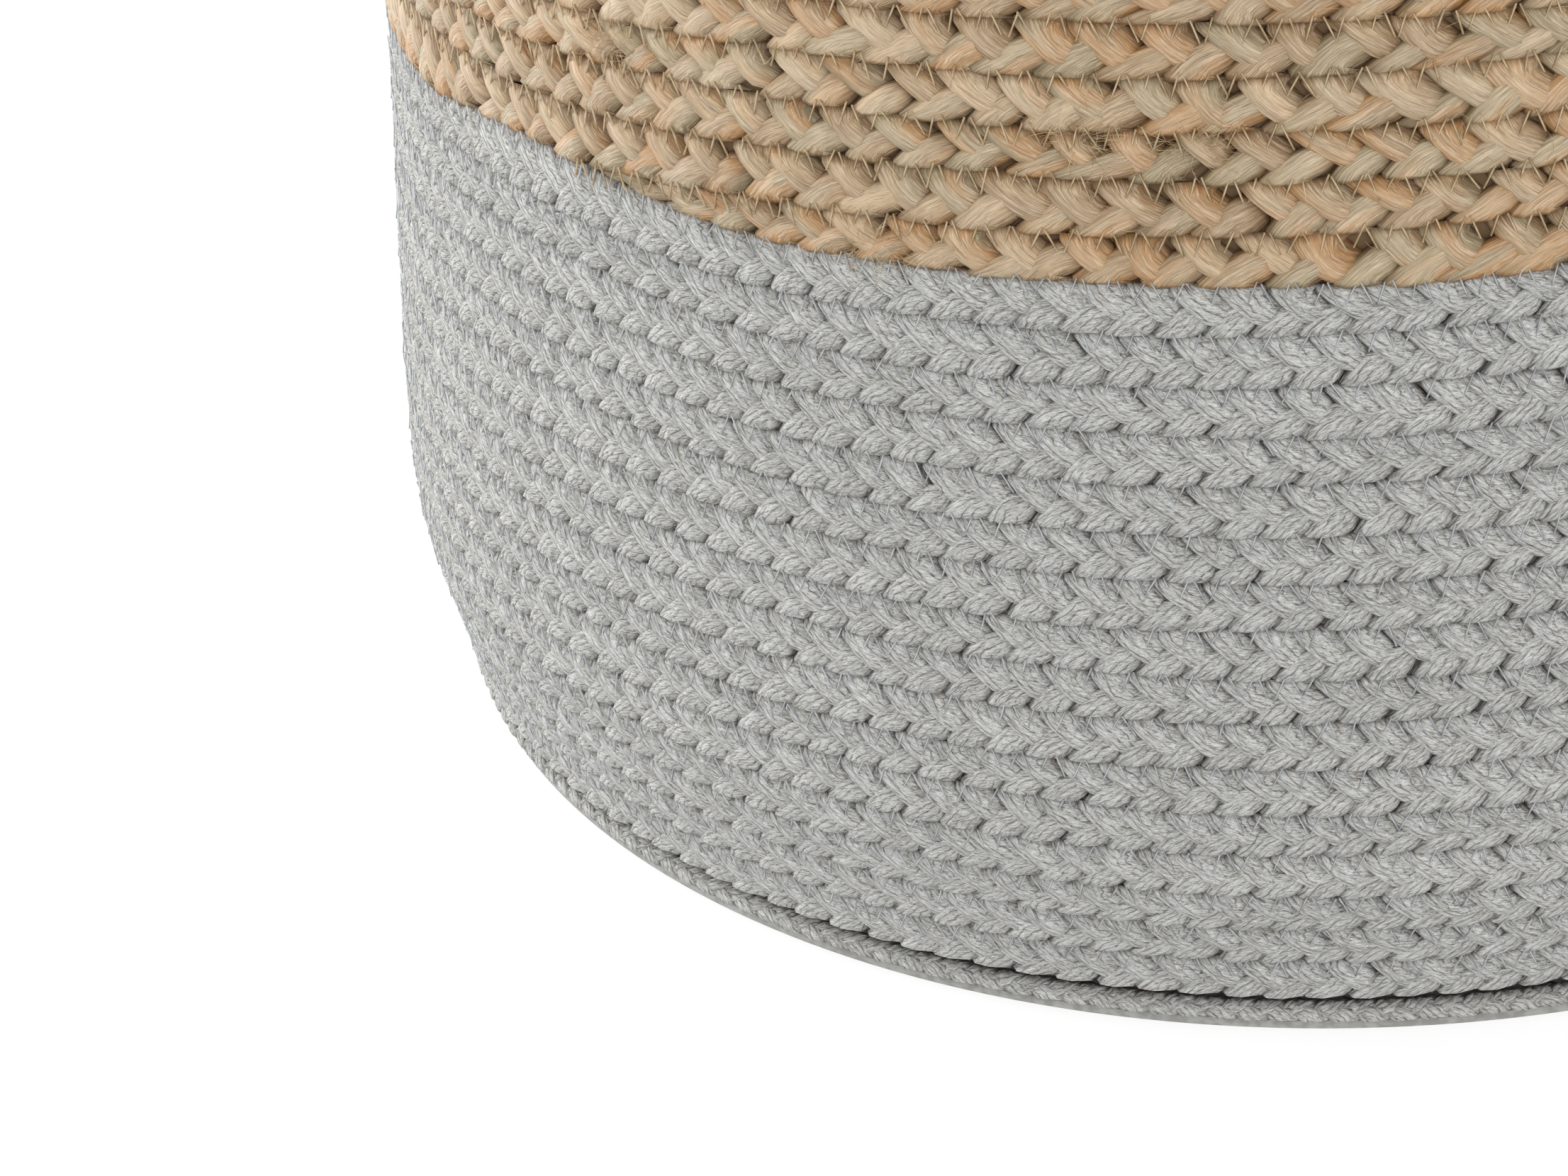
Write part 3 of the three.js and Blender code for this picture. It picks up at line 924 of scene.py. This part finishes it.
# %% [markdown]
# ## Sewing and loose hairs
# A zigzag thread holds each row to the next. It dips into a lobe above the seam, crosses the
# seam, and dips into one below. Straight legs between buried corners are enough, because the
# braids hide what lies under their skin. Jute also sheds: single curved hairs stand off all
# over it, and at a few crossings they gather in a fluffy knot. Thin tubes show them, because
# they come out the same in every program, unlike a particle system's hair.

# %% Threads
def threads(name, centres, outward, thick, finish):
    """Three-sided tubes along lines of points centres[thread, step], given the way out of the
    wall at each of them."""
    onward = np.gradient(centres, axis=1)
    onward /= np.linalg.norm(onward, axis=-1, keepdims=True)
    outward = outward / np.linalg.norm(outward, axis=-1, keepdims=True)
    sideways = np.cross(outward, onward)
    sideways /= np.linalg.norm(sideways, axis=-1, keepdims=True)
    around = np.arange(3) * 2 * np.pi / 3 + np.pi / 2
    rings = (centres[:, :, None] + thick / 2 * (
        np.cos(around)[:, None] * sideways[:, :, None]
        + np.sin(around)[:, None] * outward[:, :, None]))
    return tubes(name, rings, finish)


# %% Stitches
jute_stitch = {"pitch": 6.3 * MM, "slants": (-2.2 * MM, 1.7 * MM), "reach": (1.8 * MM, 3.1 * MM),
               "thick": 0.54 * MM, "out": 0.45 * MM}
grey_stitch = {"pitch": 6.6 * MM, "slants": (-2.2 * MM, 1.8 * MM), "reach": (1.4 * MM, 3.1 * MM),
               "thick": 0.45 * MM, "out": 0.30 * MM}
# How unevenly a hand sews: shares of a pitch or a leg, and out in millimetres.
hand = {"pairs": 5, "drift": (0.5, 0.6), "apart": 0.24, "jitter": 0.04, "slant": 0.2,
        "reach": 0.12, "out": 0.2}


def stitching(name, seam, start, end, stitch, finish, rng):
    """Short three-sided legs of thread across a seam, in pairs: one leans forwards and one
    back. A leg is straight, from an end above the seam to an end below it. The hand is uneven:
    every few pairs the pitch drifts, and each leg has its own place, slant and reach."""
    turns = turns_between(start, end)
    run = length_up_to(turns, wall.at(seam(turns))[0])
    pairs = int(run[-1] / stitch["pitch"])
    knots = pairs // hand["pairs"]
    spread, share = hand["drift"]
    stretch = np.interp(np.arange(pairs) / pairs, np.linspace(0, 1, knots),
                        rng.normal(0, spread, knots))
    pair_run = (np.arange(pairs) + 0.5 + share * stretch) / pairs * run[-1]
    middle = pair_run[:, None] + np.array([-hand["apart"], hand["apart"]]) * stitch["pitch"]
    middle = middle + rng.normal(0, hand["jitter"], middle.shape) * stitch["pitch"]
    slant = np.array(stitch["slants"]) * (1 + rng.normal(0, hand["slant"], middle.shape))
    reach = np.array(stitch["reach"]) * (1 + rng.normal(0, hand["reach"], (pairs, 2, 2)))
    side = np.array([-1.0, 1.0])
    leg_run = np.clip(middle[..., None] + slant[..., None] * side / 2, 0, run[-1])
    turn = np.interp(leg_run, run, turns).reshape(-1, 2)
    along = seam(turn) + (side * reach).reshape(-1, 2)
    out = stitch["out"] + rng.normal(0, hand["out"], along.shape) * MM

    ends = on_wall(wall, along, turn, out)
    outward = on_wall(wall, along, turn, out + 1 * MM) - ends
    return threads(name, ends, outward, stitch["thick"], finish)


stitching("jute_stitches", seam_at, 2.0, tail_tip - 1, jute_stitch, jute_thread,
          rng)
stitching("colour_stitches", colour_change_at, cotton_full - 1, cotton_full, grey_stitch,
          grey_thread, rng)
stitching("cotton_stitches", seam_at, cotton_first + 0.1, rim_end - 1.14, grey_stitch,
          grey_thread, rng)

# %% Loose hairs
# Lengths in millimetres, lean in degrees, curl in radians.
hair = {"long": (3, 10), "lean": 40, "curl": 1.1, "root": -0.4, "stand": (0.9, 2.6), "bend": 0.8}
hair_count, hair_thick = 1500, 0.10 * MM
knots = {"turns": (33.06, 31.014, 31.029, 30.107), "across": (1.0, -3.0, -3.6, 1.3), "hairs": 60}
knot_spread = {"turns": 0.0006, "across": 0.8 * MM}


def loose_hairs(name, coil, turns, across, thick, finish, rng):
    """Thin curved fibres that stand off the braid, each from a turn of the coil and a place
    across it. Its direction turns evenly along it, and it rises from its root as a sine."""
    count, steps = len(turns), 6
    t = np.linspace(0, 1, steps)
    long = rng.uniform(*hair["long"], (count, 1)) * MM
    lean = np.radians(rng.normal(0, hair["lean"], (count, 1)) + rng.choice([0, 180], (count, 1)))
    angle = lean + rng.normal(0, hair["curl"], (count, 1)) * t
    step = long / (steps - 1)
    run = coil.run_at(turns)[:, None] + np.cumsum(np.cos(angle) * step, axis=1)
    over = across[:, None] + np.cumsum(np.sin(angle) * step, axis=1)
    stand = rng.uniform(*hair["stand"], (count, 1)) * np.sin(np.pi * t * hair["bend"])
    out = MM * (hair["root"] + stand)
    run = np.clip(run, coil.run[0], coil.run[-1])
    centres = coil.place(run, over, out)
    outward = coil.place(run, over, out + 1 * MM) - centres
    return threads(name, centres, outward, thick, finish)


hair_turns = np.sqrt(rng.uniform(crown_start**2, jute_end**2, hair_count))
hair_across = rng.uniform(-0.45, 0.45, hair_count) * jute_pitch
knot_turns = np.repeat(knots["turns"], knots["hairs"])
knot_across = np.repeat(knots["across"], knots["hairs"]) * MM
knot_turns = knot_turns + rng.normal(0, knot_spread["turns"], len(knot_turns))
knot_across = knot_across + rng.normal(0, knot_spread["across"], len(knot_across))
loose_hairs("jute_hairs", jute_coil, np.append(hair_turns, knot_turns),
            np.append(hair_across, knot_across), hair_thick, jute_hair, rng)

# %% [markdown]
# ## The filled body
# Small gaps open between the lobes, and a look through them should end in shadow. So each of
# the three filled solids gets a closed dark skin just behind its braid, turned from the same
# line. It stands for the padded solid, which is hidden.

# %% Bodies behind the braids
def level(distance):
    """An edge that lies at one distance along its line, all the way round."""
    return lambda turns: 0 * turns + distance


def body(name, line, first_turn, upper, lower, inset, top, floor_height, finish, node):
    """The filled body: a closed skin turned from the line between an upper and a lower edge,
    that lies inset behind the braids and is closed with a fan at each end."""
    around, down = 72, 24
    turns = first_turn + np.arange(around) / around
    share = np.linspace(0, 1, down)[:, None]
    along = upper(turns) + share * (lower(turns) - upper(turns))
    points = on_wall(line, along, np.broadcast_to(turns, along.shape), -inset).reshape(-1, 3)
    points = np.vstack([points, [0, 0, top], [0, 0, floor_height]])
    corner = np.arange(around * down).reshape(down, around)
    side_on = np.roll(corner, -1, axis=1)
    quads = np.stack([corner[:-1], side_on[:-1], side_on[1:], corner[1:]], axis=-1)
    top_hub, floor_hub = 0 * corner[0] + around * down, 0 * corner[0] + around * down + 1
    fans = np.concatenate([np.stack([top_hub, side_on[0], corner[0]], axis=-1),
                           np.stack([floor_hub, corner[-1], side_on[-1]], axis=-1)])
    piece = add_piece(name, points, [quads.reshape(-1, 4), fans], [True, True], finish)
    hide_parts(node)


inset = 2.6 * MM
colour_height = float(wall.at(colour_length)[1])
body("jute_body", wall, cotton_full - 1, level(4 * MM), colour_change_at,
     inset, cad_high[2] - 6 * MM, colour_height, jute_shadow, "jute_cover")
body("cotton_body", wall, cotton_full - 1, colour_change_at, level(wall.length),
     inset, colour_height, wall_stations[-1, 1], cotton_shadow, "cotton_band")
body("base_body", base_line, 0.0, level(3 * MM), level(base_line.length - 4 * MM),
     4.5 * MM, 8 * MM, 5.5 * MM, cotton_shadow, "base_coil")
